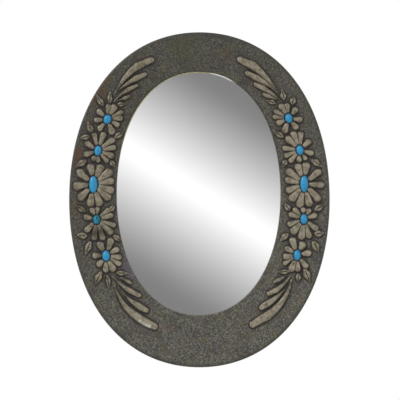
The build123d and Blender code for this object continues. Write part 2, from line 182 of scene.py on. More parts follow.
card_light = bpy.data.materials.new("card light")
tree = blank(card_light)
place = put(tree, "SeparateXYZ", {0: put(tree, "NewGeometry").outputs["Position"]}).outputs
nearer = camera_distance / (camera_distance + card_distance)  # from the card to its image
across = reckoned(tree, "MULTIPLY", place["X"], math.sin(band_slope) * nearer)
height = reckoned(tree, "SUBTRACT", place["Z"], hang_middle.z)
upward = reckoned(tree, "MULTIPLY", height, math.cos(band_slope) * nearer)
off = reckoned(tree, "SUBTRACT", reckoned(tree, "ADD", across, upward), band_rise)
bent = reckoned(tree, "SQRT", reckoned(tree, "MULTIPLY_ADD", off, off, band_core**2))
fall = reckoned(tree, "MULTIPLY_ADD", bent, -band_fall, 1 + band_core * band_fall)
screen = reckoned(tree, "SMOOTH_MAX", fall, card_darkest, card_knee)
power = reckoned(tree, "MULTIPLY", reckoned(tree, "POWER", screen, screen_gamma), card_strength)
glow = put(tree, "Emission", {"Color": (1, 1, 1, 1), "Strength": power})
put(tree, "OutputMaterial", {"Surface": glow.outputs[0]})
corners = [
    (card_half_width * x, tin_front - card_distance, hang_middle.z + card_half_width * z)
    for x, z in ((-1, -1), (-1, 1), (1, 1), (1, -1))
]
card = mesh_piece("card", corners, [(0, 1, 2, 3)], card_light)
card.visible_camera = False
card.visible_diffuse = False
card.visible_shadow = False

# ---------------------------------------------------------------- wooden ring
# The body is an oval ring sawn from a 14 mm pine board, with the glass's rebate cut in its back.
# Tin hides its front and side. The back is bare: planed, a little grey, and dusty.


def mixed(tree, share, first, second, how="MIX"):
    inputs = {0: share, 6: first, 7: second}
    return put(tree, "Mix", inputs, data_type="RGBA", blend_type=how).outputs[2]


def eased(tree, value, start, end, low=0.0, high=1.0):
    """The stretch of a value from start to end, eased from low to high."""
    inputs = {"Value": value, "From Min": start, "From Max": end, "To Min": low, "To Max": high}
    return put(tree, "MapRange", inputs, interpolation_type="SMOOTHSTEP").outputs["Result"]


def effect(name, inputs, outputs):
    """A new node group: its tree, and the sockets that its inputs come from."""
    tree = bpy.data.node_groups.new(name, "ShaderNodeTree")
    for label, kind in inputs.items():
        tree.interface.new_socket(label, in_out="INPUT", socket_type="NodeSocket" + kind)
    for label, kind in outputs.items():
        tree.interface.new_socket(label, in_out="OUTPUT", socket_type="NodeSocket" + kind)
    return tree, tree.nodes.new("NodeGroupInput").outputs


def deliver(tree, results):
    """Links what a node group works out to its outputs."""
    sink = tree.nodes.new("NodeGroupOutput")
    for label, socket in results.items():
        tree.links.new(socket, sink.inputs[label])


def cloud(tree, where, scale, detail=3.0, roughness=0.55):
    """Soft random spots, so many to a metre."""
    inputs = {"Vector": where, "Scale": scale, "Detail": detail, "Roughness": roughness}
    return put(tree, "TexNoise", inputs).outputs["Fac"]


def stretched(tree, where, x, y, z):
    inputs = {0: where, 1: (x, y, z)}
    return put(tree, "VectorMath", inputs, operation="MULTIPLY").outputs[0]


def own_place(tree):
    return put(tree, "TexCoord").outputs["Object"]


# dust: pale dust over a colour, in soft clouds
dust, given = effect(
    "dust",
    {"Where": "Vector", "Color": "Color", "Dust": "Color", "Amount": "Float"},
    {"Color": "Color"},
)
settled = eased(dust, cloud(dust, given["Where"], 45.0, 5.0, 0.65), 0.42, 0.75)
settled = reckoned(dust, "MULTIPLY", settled, given["Amount"])
deliver(dust, {"Color": mixed(dust, settled, given["Color"], given["Dust"])})


def finish_material(name, build):
    """A material whose Principled shader takes what build works out, as sockets or values."""
    material = bpy.data.materials.new(name)
    tree = blank(material)
    inputs = build(tree)
    shader = put(tree, "BsdfPrincipled", inputs)
    put(tree, "OutputMaterial", {"Surface": shader.outputs[0]})
    return material


def bumped(tree, height, distance, strength=1.0):
    inputs = {"Height": height, "Distance": distance, "Strength": strength}
    return put(tree, "Bump", inputs).outputs["Normal"]


def dress(node, material):
    """Gives a CAD node's object its finish."""
    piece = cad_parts[node]
    piece.data.materials.clear()
    piece.data.materials.append(material)
    return piece


def pine(tree):
    where = own_place(tree)
    in_log = put(tree, "VectorMath", {0: where, 1: (0.0, 0.0, 0.31)}, operation="ADD").outputs[0]
    inputs = {
        "Vector": stretched(tree, in_log, 1.0, 1.0, 0.1), "Scale": 34.0, "Distortion": 2.4,
        "Detail": 2.0, "Detail Scale": 1.4, "Detail Roughness": 0.6,
    }
    rings = put(tree, "TexWave", inputs, bands_direction="X", wave_profile="SAW").outputs["Fac"]
    fibres = cloud(tree, stretched(tree, where, 1400.0, 1400.0, 35.0), 1.0, 3.0, 0.7)
    late_wood = eased(tree, rings, 0.55, 0.98)
    colour = mixed(tree, late_wood, shade(189, 156, 112), shade(150, 110, 68))
    colour = mixed(tree, eased(tree, fibres, 0.4, 0.7), colour, shade(128, 96, 62), "MULTIPLY")
    colour = mixed(tree, 0.55, shade(176, 146, 106), colour)
    inputs = {
        "Where": where, "Color": colour, "Dust": shade(150, 142, 130), "Amount": 0.5,
    }
    dusty = put(tree, "Group", inputs, node_tree=dust).outputs
    height = reckoned(tree, "MULTIPLY_ADD", rings, 0.4, fibres)
    return {
        "Base Color": dusty["Color"],
        "Roughness": eased(tree, fibres, 0.3, 0.7, 0.62, 0.85),
        "Normal": bumped(tree, height, 0.25 * millimetre),
    }


dress("frame_core", finish_material("planed pine", pine))

# ---------------------------------------------------------------- tin sheet
# One sheet of half-millimetre tin is laid over the wood and folded round its edge and into the
# opening. Its flowers are pressed up from behind, outlined with a chasing tool and rubbed back to
# the metal, and the ground between them is dotted with a punch and keeps its dark patina. Painted
# shade darkens the chased lines, the flowers' flanks, the ground round them and the outer edge,
# painted highlights brighten the crowns, the opening's lip and one frond's tip, and a painted
# sheen lies by the opening's lower left.

glass_cover = 5.5 * millimetre  # how far the tin's edge lies over the glass
lining_depth = 6.5 * millimetre
edge_round = 3.0 * millimetre
opening_round = 0.7 * millimetre
rear_round = 0.9 * millimetre
flange_width = 8.0 * millimetre
oval_fullness = 0.597  # length of the oval's curve handles, as a share of each half-axis

steps_round = 1980
steps_across = 104  # from the opening to the outer edge
raised_most = 2.4 * millimetre
raised_soon = 1.2 * millimetre  # the sooner a boss rises, the flatter its top is
line_depth = 0.22 * millimetre
line_blur = 6
crease_least = 0.02 * millimetre  # how far a crease lies below its blurred surroundings
crease_most = 0.12 * millimetre
crease_blur = 2
shadow_blur = 60
shadow_height = 0.9 * millimetre  # the blurred relief's height where the painted shadow, with deeper patina, is darkest
punch_spacing = 1.7 * millimetre
punch_radius = 0.5 * millimetre
punch_depth = 0.2 * millimetre
lightest_punch = 0.35  # of that depth
sway_depth = 0.22 * millimetre  # slow dents of a sheet that was worked by hand
side_dent_depth = 0.12 * millimetre
side_dent_fineness = 2.1  # how much closer together than on the front
pit_radius = 1.1 * millimetre
pit_depth = 0.35 * millimetre
lip_highlight = (118, 60)  # middle and reach round the opening, in degrees: a painted highlight keeps the lip bright
lip_dark_line = (38, 41.4)  # the same: a dark line lies along it
glint = (75, 9)  # the same: a white painted highlight on its edge
lip_highlight_shine = 0.5  # of the glint's
beside_lip_darkness = 0.8  # of the chased lines' darkness: it lies beside the painted highlight on the lip too
pits = (  # x and z in millimetres: small flaws in the raised work
    (-111.8, -175.1), (-108.5, -186.1), (-134.4, -210.4), (-134.4, -224.0), (-124.6, -232.5),
    (-120.4, -263.0), (-112.4, -268.8), (-76.8, -309.7), (-69.3, -29.3), (-86.1, -57.7),
)

glass_low, glass_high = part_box("mirror_glass")
cover_low, cover_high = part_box("tin_cover")
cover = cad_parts["tin_cover"].data
probe = BVHTree.FromPolygons(
    [v.co for v in cover.vertices],
    [p.vertices for p in cover.polygons],
    epsilon=0.001 * millimetre,
)


def oval(low, high, inset):
    """Points round the oval that fills a box, as rows of x and of z."""
    turn = np.arange(steps_round) * 4 / steps_round
    quarter = turn.astype(int)
    t = turn - quarter
    ahead = (1 - t) ** 3 + 3 * (1 - t) ** 2 * t + 3 * oval_fullness * (1 - t) * t**2
    aside = 3 * oval_fullness * (1 - t) ** 2 * t + 3 * (1 - t) * t**2 + t**3
    x = np.choose(quarter, (ahead, -aside, -ahead, aside)) * ((high.x - low.x) / 2 - inset)
    z = np.choose(quarter, (aside, ahead, -aside, -ahead)) * ((high.z - low.z) / 2 - inset)
    return np.stack([x + (low.x + high.x) / 2, z + (low.z + high.z) / 2])


def outward(line):
    along = np.roll(line, -1, 1) - np.roll(line, 1, 1)
    return np.stack([along[1], -along[0]]) / np.hypot(*along)


def soften(field, times):
    """A field over the band, with its steps blurred round the band and across it."""
    for _ in range(times):
        field = (np.roll(field, 1, 1) + 2 * field + np.roll(field, -1, 1)) / 4
        wide = np.pad(field, ((1, 1), (0, 0)), "edge")
        field = (wide[:-2] + 2 * wide[1:-1] + wide[2:]) / 4
    return field


def scatter(i, j, salt):
    """A random share for each cell of a grid."""
    value = np.sin(i * 127.1 + j * 311.7 + salt * 74.7) * 43758.5453
    return value - np.floor(value)


def punched(x, z):
    """How deep the punch went, from 0 to 1: one dot to a cell, anywhere in it."""
    cell_x, cell_z = np.floor(x / punch_spacing), np.floor(z / punch_spacing)
    depth = np.zeros_like(x)
    for i in (-1, 0, 1):
        for j in (-1, 0, 1):
            a, b = cell_x + i, cell_z + j
            dot_x = (a + scatter(a, b, 1)) * punch_spacing
            dot_z = (b + scatter(a, b, 2)) * punch_spacing
            near = np.exp(-((x - dot_x) ** 2 + (z - dot_z) ** 2) / punch_radius**2)
            blow = lightest_punch + (1 - lightest_punch) * scatter(a, b, 3)
            depth = np.maximum(depth, near * blow)
    return depth


def swaying(x, z):
    """A slow unevenness between -1 and 1, where waves cross."""
    waves = (  # radians to a metre along x and along z, and the radians that it starts at
        (52.7, 28.9, 0.3), (-39.1, 69.7, 1.9), (96.9, -61.2, 4.1), (20.4, 112.2, 2.6),
        (-125.8, -47.6, 5.2),
    )
    return sum(np.sin(a * x + b * z + start) for a, b, start in waves) / len(waves)


def along_lip(middle, reach):
    """A share for each step round the opening: 1 in the middle, 0 from its reach on."""
    least = math.cos(math.radians(reach))
    return np.clip((np.cos(turns_round - math.radians(middle)) - least) / (1 - least), 0, 1)


opening_line = oval(glass_low, glass_high, glass_cover)
outer_line = oval(cover_low, cover_high, 0.0)
opening_out, outer_out = outward(opening_line), outward(outer_line)
turns_round = math.tau * np.arange(steps_round) / steps_round
lip_highlight_share = along_lip(*lip_highlight)
glint_middle, glint_reach = np.radians(glint)
glint_lip = np.exp(-(((turns_round - glint_middle) / glint_reach) ** 4))
lip_marks = np.maximum(lip_highlight_shine * lip_highlight_share, glint_lip)

# the front, ring by ring from the opening to the outer edge
share = np.linspace(0, 1, steps_across)[:, None]
band_start = opening_line + opening_round * opening_out
band_end = outer_line - edge_round * outer_out
front_x = band_start[0] + share * (band_end[0] - band_start[0])
front_z = band_start[1] + share * (band_end[1] - band_start[1])
before_front = tin_front - 20 * millimetre
straight_back = Vector((0, 1, 0))
raised = np.zeros_like(front_x)
for ring in range(steps_across):
    for step in range(steps_round):
        start = (front_x[ring, step], before_front, front_z[ring, step])
        hit = probe.ray_cast(start, straight_back)[0]
        raised[ring, step] = tin_front - hit.y if hit else 0.0
raised = soften(np.clip(raised, 0, None), 1)
crown = raised_most * (1 - np.exp(-raised / raised_soon))
groove = np.clip((soften(crown, line_blur) - crown) / line_depth, 0, 1)
crease = (soften(raised, crease_blur) - raised - crease_least) / (crease_most - crease_least)
groove = np.maximum(groove, np.clip(crease, 0, 1))
relief = crown / crown.max()
shadow = np.clip(soften(crown, shadow_blur) / shadow_height, 0, 1)
pit = np.zeros_like(front_x)
for x, z in pits:
    away = (front_x - x * millimetre) ** 2 + (front_z - z * millimetre) ** 2
    pit = np.maximum(pit, np.exp(-away / pit_radius**2))
dotted = 1 - np.clip(crown / raised_most * 3, 0, 1)  # to a third of the way up a boss
loose = share * (1 - share) * 4  # the sheet is held at the opening and at the outer edge
front_y = (
    tin_front - crown + line_depth * groove + pit_depth * pit
    + punch_depth * punched(front_x, front_z) * dotted
    + sway_depth * swaying(front_x, front_z) * loose
)

# the whole section, from the end of the opening's lining round to the flange at the back
mark_names = ("relief", "groove", "shadow", "edge", "lip")
rings = []  # rows of x, z, y and the marks


def add_ring(line, y, **marks):
    flat = [np.broadcast_to(marks.get(name, 0.0), steps_round) for name in mark_names]
    rings.append(np.stack([line[0], line[1], np.broadcast_to(y, steps_round), *flat]))


lining_end = tin_front + lining_depth
side_dents = side_dent_depth * swaying(*(side_dent_fineness * outer_line))
for y in np.linspace(lining_end, tin_front + opening_round, 7):
    add_ring(opening_line, y, lip=lip_marks)
for turn in np.radians((22, 45, 68)):
    line = opening_line + opening_round * (1 - math.cos(turn)) * opening_out
    add_ring(line, tin_front + opening_round * (1 - math.sin(turn)), lip=lip_marks)
groove[1:4] = np.maximum(groove[1:4], beside_lip_darkness * lip_highlight_share)
groove[:2] = np.maximum(groove[:2], along_lip(*lip_dark_line))
for ring in range(steps_across):
    add_ring(
        (front_x[ring], front_z[ring]), front_y[ring], relief=relief[ring],
        groove=np.maximum(groove[ring], pit[ring]), shadow=shadow[ring],
        edge=np.clip(ring - steps_across + 4, 0, 4) / 4,
    )
for turn in np.radians((75, 60, 45, 30, 15, 0)):
    line = outer_line - edge_round * (1 - math.cos(turn)) * outer_out
    add_ring(line, tin_front + edge_round * (1 - math.sin(turn)), edge=1.0)
flange_back = cover_high.y
for y in np.linspace(tin_front + edge_round, flange_back - rear_round, 8)[1:]:
    add_ring(outer_line - np.maximum(side_dents, 0) * outer_out, y)
for turn in np.radians((30, 60)):
    line = outer_line - rear_round * (1 - math.cos(turn)) * outer_out
    add_ring(line, flange_back - rear_round * (1 - math.sin(turn)), edge=0.5)

# the flange reaches as far in as the probe finds metal: it is slit where it turns a bend
probe_insets = np.linspace(1.5 * millimetre, flange_width, 26, endpoint=False)
flange_reach = np.full(steps_round, rear_round)
for step in range(steps_round):
    for inset in probe_insets:
        x, z = outer_line[:, step] - inset * outer_out[:, step]
        hit = probe.ray_cast((x, 0.0, z), -straight_back)[0]
        if hit is None or hit.y < flange_back - tin_thickness:
            break
        flange_reach[step] = inset
for part in np.linspace(0, 1, 8):
    inset = rear_round + part * (flange_reach - rear_round)
    add_ring(outer_line - inset * outer_out, flange_back)

# the sheet's inner face, which lies on the wood
add_ring(outer_line - flange_reach * outer_out, flange_back - tin_thickness)
add_ring(outer_line - tin_thickness * outer_out, flange_back - tin_thickness)
add_ring(outer_line - tin_thickness * outer_out, tin_front + edge_round)
add_ring(outer_line - edge_round * outer_out, tin_front + tin_thickness)
add_ring(opening_line + tin_thickness * opening_out, tin_front + tin_thickness)
add_ring(opening_line + tin_thickness * opening_out, lining_end)

section = np.array(rings)
ring_count = len(rings)
points = section[:, [0, 2, 1], :].transpose(0, 2, 1).reshape(-1, 3)
this_ring = np.arange(ring_count)[:, None] * steps_round
next_ring = (np.arange(ring_count)[:, None] + 1) % ring_count * steps_round
this_step = np.arange(steps_round)[None]
next_step = (this_step + 1) % steps_round
quads = np.stack(
    [this_ring + this_step, next_ring + this_step, next_ring + next_step, this_ring + next_step],
    axis=-1,
).reshape(-1, 4)

# speckle: a colour broken up by fine grains and by wider stains, and the grains' height
speckle, given = effect(
    "speckle",
    {"Where": "Vector", "Grain": "Float", "Stain": "Float", "Base": "Color", "Dark": "Color",
     "Light": "Color", "Stained": "Color", "Staining": "Float"},
    {"Color": "Color", "Height": "Float"},
)
grains = cloud(speckle, given["Where"], given["Grain"], 2.0, 0.6)
darker = mixed(speckle, eased(speckle, grains, 0.5, 0.36), given["Base"], given["Dark"])
broken = mixed(speckle, eased(speckle, grains, 0.52, 0.68), darker, given["Light"])
stains = eased(speckle, cloud(speckle, given["Where"], given["Stain"], 4.0), 0.48, 0.66)
stains = reckoned(speckle, "MULTIPLY", stains, given["Staining"])
deliver(speckle, {"Color": mixed(speckle, stains, broken, given["Stained"]), "Height": grains})

rust, violet, olive = shade(112, 74, 34), shade(104, 97, 114), shade(88, 90, 52)
highlight_silver, wax = shade(216, 215, 204), shade(56, 48, 44)
# the violet bloom by the opening's lower left is a painted sheen; the others are stains
blooms = (  # x, z and reach in millimetres, strength, tint
    (-126, -60, 22, 0.75, rust), (-147, -135, 17, 0.75, rust), (-112, -44, 12, 0.5, rust),
    (-148, -196, 12, 0.35, rust), (-84, -272, 26, 0.5, violet), (-118, -252, 14, 0.3, violet),
    (-20, -8, 30, 0.3, olive), (-92, -68, 16, 0.35, olive), (30, -14, 18, 0.14, rust),
)
bloom_raggedness = 16.0 * millimetre
highlights_and_wax = (  # the same, on the raised work: a painted highlight along a frond's tip, and spots where it has kept its wax
    (-70.8, -332.4, 3.2, 0.6, highlight_silver), (-67.2, -335.2, 3.2, 0.5, highlight_silver),
    (-63.6, -337.4, 3.8, 0.7, highlight_silver), (-60.0, -338.6, 4.0, 0.9, highlight_silver),
    (-126.0, -229.0, 9.0, 0.8, wax), (-118.5, -226.5, 11.0, 0.8, wax),
)
highlight_and_wax_raggedness = 2.0 * millimetre
ground_spots = (  # place in the noise, spots to a metre, strength, tint
    (0.4, 330.0, 0.75, olive), (1.1, 300.0, 0.7, shade(84, 72, 92)),
    (1.9, 120.0, 0.4, shade(88, 88, 60)), (2.6, 90.0, 0.3, shade(104, 82, 56)),
    (5.2, 520.0, 0.7, shade(134, 133, 122)), (8.3, 430.0, 0.6, shade(52, 50, 48)),
)
metal_spots = (
    (3.3, 110.0, 0.75, shade(80, 76, 62)), (4.1, 110.0, 0.6, shade(158, 146, 132)),
    (5.7, 260.0, 0.5, shade(92, 92, 66)), (6.3, 220.0, 0.45, shade(150, 128, 122)),
)
darker_toward = (-0.57, 0.0, 0.82)  # the side that is made darkest


def moved_by(tree, where, aside):
    return put(tree, "VectorMath", {0: where, 1: (aside,) * 3}, operation="ADD").outputs[0]


def away_from(tree, where, middle):
    return put(tree, "VectorMath", {0: where, 1: middle}, operation="DISTANCE").outputs["Value"]


def spotted(tree, where, colour, spots, detail, start, end):
    """A colour under soft spots of other tints, where noise goes from start to end and past it."""
    for aside, scale, strength, tint in spots:
        spot = cloud(tree, moved_by(tree, where, aside), scale, detail)
        colour = mixed(tree, eased(tree, spot, start, end, 0.0, strength), colour, tint)
    return colour


def bloomed(tree, where, colour, blooms, raggedness):
    """A colour under round patches of other tints, with ragged rims, as seen from the front."""
    ragged = cloud(tree, where, 2.6 / raggedness, 4.0)
    flat = stretched(tree, where, 1.0, 0.0, 1.0)
    for x, z, reach, strength, tint in blooms:
        away = away_from(tree, flat, (x * millimetre, 0.0, z * millimetre))
        away = reckoned(tree, "MULTIPLY_ADD", ragged, raggedness, away)
        rim = reach * millimetre + raggedness / 2
        bloom = eased(tree, away, rim, raggedness / 2, 0.0, strength)
        colour = mixed(tree, bloom, colour, tint)
    return colour


def ground_patina(tree, where, marks):
    """The ground's colour and height: grey, mottled all over, with a few wide blooms, and with a
    painted shadow and deeper patina round the raised work.
    """
    inputs = {
        "Where": where, "Grain": 760.0, "Stain": 48.0, "Base": shade(90, 89, 81),
        "Dark": shade(50, 47, 47), "Light": shade(134, 131, 117), "Stained": shade(68, 64, 63),
        "Staining": 0.75,
    }
    grey = put(tree, "Group", inputs, node_tree=speckle).outputs
    colour = spotted(tree, where, grey["Color"], ground_spots, 2.0, 0.54, 0.68)
    colour = bloomed(tree, where, colour, blooms, bloom_raggedness)
    # painted shadow and deeper patina on the ground round the raised work
    near = eased(tree, marks["shadow"], 0.06, 0.9, 0.0, 0.75)
    return mixed(tree, near, colour, shade(52, 48, 47)), grey["Height"]


def rubbed_metal(tree, where, marks):
    """The raised work's colour and height: crowns rubbed bright with a painted highlight, flanks
    darkened with painted shade and grime, and no two petals alike.
    """
    inputs = {
        "Where": where, "Grain": 300.0, "Stain": 130.0, "Base": shade(121, 114, 97),
        "Dark": shade(102, 95, 81), "Light": shade(138, 131, 113),
        "Stained": shade(104, 100, 70), "Staining": 0.5,
    }
    metal = put(tree, "Group", inputs, node_tree=speckle).outputs
    colour = spotted(tree, where, metal["Color"], metal_spots, 3.0, 0.5, 0.66)
    # painted shade with grime on the flanks of the raised work, in patches
    flanks = eased(tree, marks["relief"], 0.95, 0.4, 0.0, 0.85)
    patchy = eased(tree, cloud(tree, moved_by(tree, where, 4.9), 170.0), 0.36, 0.58)
    shade_and_grime = reckoned(tree, "MULTIPLY", flanks, patchy)
    colour = mixed(tree, shade_and_grime, colour, shade(66, 62, 52))
    # the crowns rubbed lighter, with a painted highlight on them, patchily
    worn = eased(tree, cloud(tree, moved_by(tree, where, 7.1), 190.0), 0.38, 0.62, 0.2, 1.0)
    crowns = reckoned(tree, "MULTIPLY", eased(tree, marks["relief"], 0.7, 1.0, 0.0, 0.75), worn)
    colour = mixed(tree, crowns, colour, shade(172, 164, 144))
    return bloomed(tree, where, colour, highlights_and_wax, highlight_and_wax_raggedness), metal["Height"]


def patinated_tin(tree):
    where = own_place(tree)
    marks = {
        name: put(tree, "Attribute", attribute_name=name).outputs["Fac"] for name in mark_names
    }
    ground_colour, ground_height = ground_patina(tree, where, marks)
    metal_colour, metal_height = rubbed_metal(tree, where, marks)
    rubbed = eased(tree, marks["relief"], 0.06, 0.3)
    colour = mixed(tree, rubbed, ground_colour, metal_colour)

    # the tin made darker toward the upper left, half as much on the raised work
    inputs = {0: where, 1: darker_toward}
    upward = put(tree, "VectorMath", inputs, operation="DOT_PRODUCT").outputs["Value"]
    upper_left_darkening = eased(tree, upward, -0.33, 0.03)
    upper_left_darkening = reckoned(tree, "MULTIPLY", upper_left_darkening, eased(tree, rubbed, 0.0, 1.0, 1.0, 0.5))
    colour = mixed(tree, upper_left_darkening, colour, shade(202, 201, 196), "MULTIPLY")
    # painted shade: the outer edge darkened where the sheet rounds away, half as much at the back
    colour = mixed(tree, reckoned(tree, "MULTIPLY", marks["edge"], 0.5), colour, shade(58, 56, 50))
    # the chased lines, creases and pits darkened: dark patina in them, and painted shade
    chased_patina_and_shade = eased(tree, marks["groove"], 0.25, 0.9, 0.0, 0.93)
    colour = mixed(tree, chased_patina_and_shade, colour, shade(38, 34, 34))
    # painted highlight on the opening's lip: pale round its upper left, white at its glint
    colour = mixed(tree, eased(tree, marks["lip"], 0.05, 0.5), colour, shade(178, 172, 122))
    colour = mixed(tree, eased(tree, marks["lip"], 0.5, 0.9), colour, shade(246, 250, 248))
    heights = reckoned(tree, "MULTIPLY_ADD", metal_height, 0.5, ground_height)
    # the rubbed raised work and the lip's painted highlight are made shinier
    shiny_share = reckoned(tree, "MAXIMUM", rubbed, marks["lip"])
    return {
        "Base Color": colour,
        "Metallic": eased(tree, shiny_share, 0.0, 1.0, 0.25, 0.6),
        "Roughness": eased(tree, shiny_share, 0.0, 1.0, 0.62, 0.42),
        "Normal": bumped(tree, heights, 0.3 * millimetre, 0.7),
    }


tin_sheet = mesh_piece(
    "tin_sheet", points, quads.tolist(), finish_material("patinated tin", patinated_tin)
)
for number, name in enumerate(mark_names, 3):
    marks = tin_sheet.data.attributes.new(name, "FLOAT", "POINT")
    marks.data.foreach_set("value", section[:, number].astype(np.float32).ravel())

# the map for its finish: the ring cut into three strips, laid one above the other
strips = 3
strip_margin = 0.003
strip_steps = steps_round // strips
across = (np.roll(section, -1, 0) - section)[:, :3]
runs = np.sqrt((across**2).sum(1)).mean(1)
mark = np.concatenate([[0], np.cumsum(runs)]) / runs.sum()
ring_of, step_of = np.divmod(np.arange(len(quads)), steps_round)
strip = step_of // strip_steps
left = (step_of % strip_steps) / strip_steps
right = left + 1 / strip_steps
u = np.stack([left, left, right, right], axis=-1)
v = np.stack([mark[ring_of], mark[ring_of + 1], mark[ring_of + 1], mark[ring_of]], axis=-1)
v = (strip[:, None] + strip_margin + (1 - 2 * strip_margin) * v) / strips
flat_map = tin_sheet.data.uv_layers.new(name="OFBake")
flat_map.uv.foreach_set("vector", np.stack([u, v], axis=-1).astype(np.float32).ravel())

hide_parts("tin_cover")
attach(tin_sheet, "frame")

# ---------------------------------------------------------------- turquoise
# Ten small stones, ground to low domes and polished, one in the middle of each flower. Each is
# set on the tin in a bead of dark cement, whose colour also paints the shadow in the gap round the
# stone. One is greener than the rest, with a pitted top.

cement_width = 0.9 * millimetre
cement_height = 0.8 * millimetre
cement_overlap = 0.35  # of its width, under the stone's edge
cement_sink = 0.1 * millimetre
cement_unevenness = 0.18
bead_steps = 72


def turquoise(tree, base, light, dark, vein_share):
    where = own_place(tree)
    inputs = {
        "Where": where, "Grain": 330.0, "Stain": 260.0, "Base": base, "Dark": dark,
        "Light": light, "Stained": light, "Staining": 0.35,
    }
    body = put(tree, "Group", inputs, node_tree=speckle).outputs
    bends = cloud(tree, where, 300.0, 2.0)
    inputs = {
        "Vector": put(tree, "VectorMath", {0: where, 1: bends}, operation="ADD").outputs[0],
        "Scale": 240.0,
    }
    crack = put(tree, "TexVoronoi", inputs, feature="DISTANCE_TO_EDGE").outputs["Distance"]
    vein = reckoned(tree, "MULTIPLY", eased(tree, crack, 0.05, 0.0), vein_share)
    return {
        "Base Color": mixed(tree, vein, body["Color"], dark),
        "Roughness": eased(tree, crack, 0.0, 0.1, 0.42, 0.24),
        "Specular IOR Level": 0.3,
        "Coat Weight": 0.08,
        "Coat Roughness": 0.12,
        "Normal": bumped(tree, crack, 0.05 * millimetre, 0.4),
    }


def blue_turquoise(tree):
    return turquoise(tree, shade(50, 152, 201), shade(58, 158, 207), shade(40, 140, 192), 0.08)


def pitted_turquoise(tree):
    results = turquoise(tree, shade(6, 128, 154), shade(20, 144, 168), shade(6, 90, 118), 0.4)
    where = own_place(tree)
    low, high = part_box("stone_left_4")

    def near(up, start, end):
        """A round spot on the stone's top, so far up it, faded from start to end."""
        middle = ((low.x + high.x) / 2, low.y, low.z + up * (high.z - low.z))
        return eased(tree, away_from(tree, where, middle), start * millimetre, end * millimetre)

    grains = eased(tree, cloud(tree, where, 900.0, 1.0), 0.52, 0.62)
    specks = reckoned(tree, "MULTIPLY", near(0.22, 2.2, 1.4), grains)
    hole = reckoned(tree, "MULTIPLY", near(0.7, 1.7, 1.0), 0.85)
    colour = mixed(tree, specks, results["Base Color"], shade(130, 200, 205))
    results["Base Color"] = mixed(tree, hole, colour, shade(20, 44, 60))
    return results


# dark purple cement, whose colour also paints the shadow in the gap round each stone
def cement(tree):
    where = own_place(tree)
    inputs = {
        "Where": where, "Grain": 900.0, "Stain": 300.0, "Base": shade(62, 54, 72),
        "Dark": shade(40, 34, 46), "Light": shade(84, 76, 96), "Stained": shade(48, 46, 50),
        "Staining": 0.5,
    }
    grainy = put(tree, "Group", inputs, node_tree=speckle).outputs
    return {
        "Base Color": grainy["Color"],
        "Roughness": eased(tree, grainy["Height"], 0.3, 0.7, 0.5, 0.7),
        "Normal": bumped(tree, grainy["Height"], 0.1 * millimetre),
    }


def lathe_loop(name, line, out, stations, material):
    """A closed bead along a line: stations are (distance out from the line, y)."""
    count = line.shape[1]
    vertices = []
    for out_by, y in stations:
        ring = line + out_by * out
        vertices += [(x, y, z) for x, z in ring.T]
    size = len(stations)
    faces = [
        (
            a * count + n, (a + 1) % size * count + n,
            (a + 1) % size * count + (n + 1) % count, a * count + (n + 1) % count,
        )
        for a in range(size)
        for n in range(count)
    ]
    return mesh_piece(name, vertices, faces, material)


blue_stone = finish_material("blue turquoise", blue_turquoise)
pitted_stone = finish_material("pitted turquoise", pitted_turquoise)
dark_cement_and_shade = finish_material("dark cement", cement)
for side in ("left", "right"):
    for number in range(1, 6):
        node = f"stone_{side}_{number}"
        stone = dress(node, pitted_stone if node == "stone_left_4" else blue_stone)
        stone.data.shade_smooth()
        places = np.array([v.co for v in stone.data.vertices])
        girdle = places[places[:, 1] > tin_front - 0.05 * millimetre][:, [0, 2]]
        centre = (girdle.min(0) + girdle.max(0)) / 2
        axes = np.linalg.svd(girdle - centre, full_matrices=False)[2]
        halves = np.abs((girdle - centre) @ axes.T).max(0)
        turn = np.arange(bead_steps) * math.tau / bead_steps
        ellipse = np.stack([halves[0] * np.cos(turn), halves[1] * np.sin(turn)])
        line = centre[:, None] + axes.T @ ellipse
        out = outward(line)
        if ((line - centre[:, None]) * out).sum() < 0:
            out = -out
        uneven = 1 + cement_unevenness * np.sin(3 * turn + number) * np.sin(5 * turn + 2 * number)
        arc = [
            (
                cement_width * (uneven * (1 - math.cos(a)) / 2 - cement_overlap),
                tin_front + cement_sink - cement_height * math.sin(a),
            )
            for a in np.radians((0, 30, 60, 90, 120, 150, 180))
        ]
        bead = lathe_loop(f"cement_{side}_{number}", line, out, arc, dark_cement_and_shade)
        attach(bead, "frame")

# ---------------------------------------------------------------- glass and its backing
# A 3 mm pane, silvered on its back, lies in the rebate. A grey card pads it and a sheet of
# hardboard, mesh side out, closes the back.


def silvered_glass(tree):
    where = own_place(tree)
    film = cloud(tree, where, 14.0, 2.0)
    return {
        "Base Color": mixed(tree, film, shade(244, 244, 244), shade(248, 248, 248)),
        "Metallic": 1.0,
        "Roughness": eased(tree, film, 0.3, 0.7, 0.012, 0.02),
    }


def grey_card(tree):
    where = own_place(tree)
    inputs = {
        "Where": where, "Grain": 600.0, "Stain": 40.0, "Base": shade(150, 142, 126),
        "Dark": shade(126, 118, 102), "Light": shade(172, 165, 150),
        "Stained": shade(132, 118, 94), "Staining": 0.4,
    }
    pulp = put(tree, "Group", inputs, node_tree=speckle).outputs
    return {
        "Base Color": pulp["Color"],
        "Roughness": eased(tree, pulp["Height"], 0.3, 0.7, 0.8, 0.95),
        "Normal": bumped(tree, pulp["Height"], 0.12 * millimetre),
    }


mesh_pitch = 1.6 * millimetre  # of the wire screen that pressed the board's rough side


